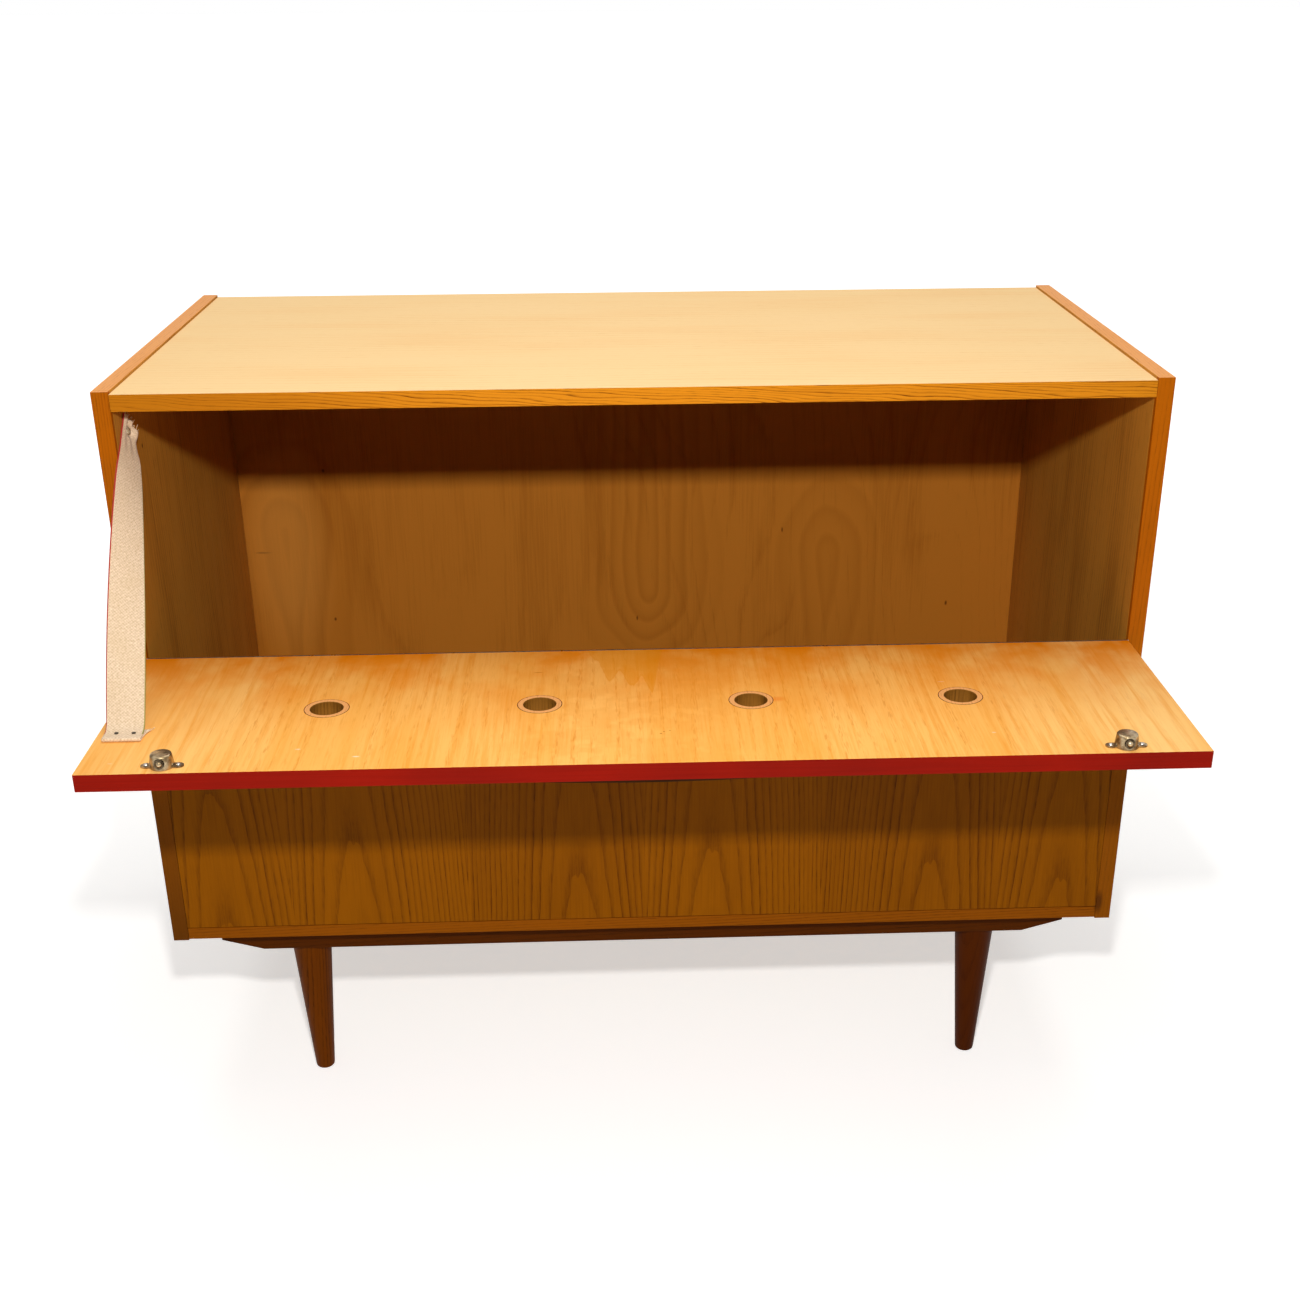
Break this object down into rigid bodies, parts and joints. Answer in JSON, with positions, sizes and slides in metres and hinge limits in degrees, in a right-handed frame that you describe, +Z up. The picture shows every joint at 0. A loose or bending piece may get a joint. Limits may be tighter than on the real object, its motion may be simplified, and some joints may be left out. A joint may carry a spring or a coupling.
{
  "type": "bar cabinet",
  "caption": "Low wooden cabinet on turned legs, whose drop-front flap folds down level on a piano hinge to make a serving shelf, held by a webbing strap and shut by ball catches.",
  "frame": {"origin": "on the floor, under the middle of the cabinet with its flap open", "axes": "+X to the viewer's right along the front, +Y towards the back, +Z up"},
  "size_m": [1, 0.7478, 0.7791],
  "materials": {
    "pale_veneer": "satin lacquer",
    "brown_veneer": "satin lacquer",
    "lipping": "satin lacquer",
    "plywood": "matt",
    "flap_lacquer": "gloss red lacquer outside, pale veneer inside",
    "brown_wood": "satin stain",
    "peg_wood": "bare",
    "nickel": "worn nickel plate",
    "steel": "bright",
    "webbing": "woven cotton"
  },
  "bodies": {
    "carcass": {"side_panel_left": "pale_veneer", "side_panel_right": "pale_veneer", "side_lipping_left": "lipping", "side_lipping_right": "lipping", "top_panel": "pale_veneer", "top_lipping": "lipping", "bottom_panel": "pale_veneer", "bottom_lipping": "lipping", "back_panel": "plywood", "lower_front_panel": "brown_veneer", "tongue_top_left": "peg_wood", "tongue_top_right": "peg_wood", "tongue_bottom_left": "peg_wood", "tongue_bottom_right": "peg_wood", "tongue_front_left": "peg_wood", "tongue_front_right": "peg_wood", "leg_rail_front": "brown_wood", "leg_rail_rear": "brown_wood", "leg_front_left": "brown_wood", "leg_front_right": "brown_wood", "leg_rear_left": "brown_wood", "leg_rear_right": "brown_wood", "rail_screw_front_left": "steel", "rail_screw_front_right": "steel", "rail_screw_rear_left": "steel", "rail_screw_rear_right": "steel", "hinge_leaf_fixed": "steel", "hinge_pin": "steel", "strike_plate_left": "nickel", "strike_plate_right": "nickel", "strike_screw_left_1": "nickel", "strike_screw_left_2": "nickel", "strike_screw_right_1": "nickel", "strike_screw_right_2": "nickel", "strap": "webbing", "strap_screw": "steel"},
    "flap": {"flap_panel": "flap_lacquer", "handle": "brown_wood", "handle_dowel_1": "peg_wood", "handle_dowel_2": "peg_wood", "vent_ring_1": "peg_wood", "vent_ring_2": "peg_wood", "vent_ring_3": "peg_wood", "vent_ring_4": "peg_wood", "hinge_leaf_flap": "steel", "catch_case_left": "nickel", "catch_case_right": "nickel", "catch_sleeve_left": "nickel", "catch_sleeve_right": "nickel", "catch_spring_left": "steel", "catch_spring_right": "steel", "catch_screw_left_1": "nickel", "catch_screw_left_2": "nickel", "catch_screw_right_1": "nickel", "catch_screw_right_2": "nickel", "strap_tack_1": "steel", "strap_tack_2": "steel"},
    "catch_ball_left": {"catch_ball_left": "steel"},
    "catch_ball_right": {"catch_ball_right": "steel"}
  },
  "joints": [
    {"name": "flap_hinge", "type": "hinge", "parent": "carcass", "child": "flap", "pos_m": [0, -0.11478, 0.49995], "axis": [-1, 0, 0], "range_deg": [0, 90], "deforming": ["strap"]},
    {"name": "catch_ball_left_slide", "type": "slide", "parent": "flap", "child": "catch_ball_left", "axis": [0, 1, 0], "range_m": [0, 0.0015], "stiffness_N_per_m": 400, "springref_m": -0.002, "deforming": ["catch_spring_left"]},
    {"name": "catch_ball_right_slide", "type": "slide", "parent": "flap", "child": "catch_ball_right", "axis": [0, 1, 0], "range_m": [0, 0.0015], "stiffness_N_per_m": 400, "springref_m": -0.002, "deforming": ["catch_spring_right"]}
  ]
}
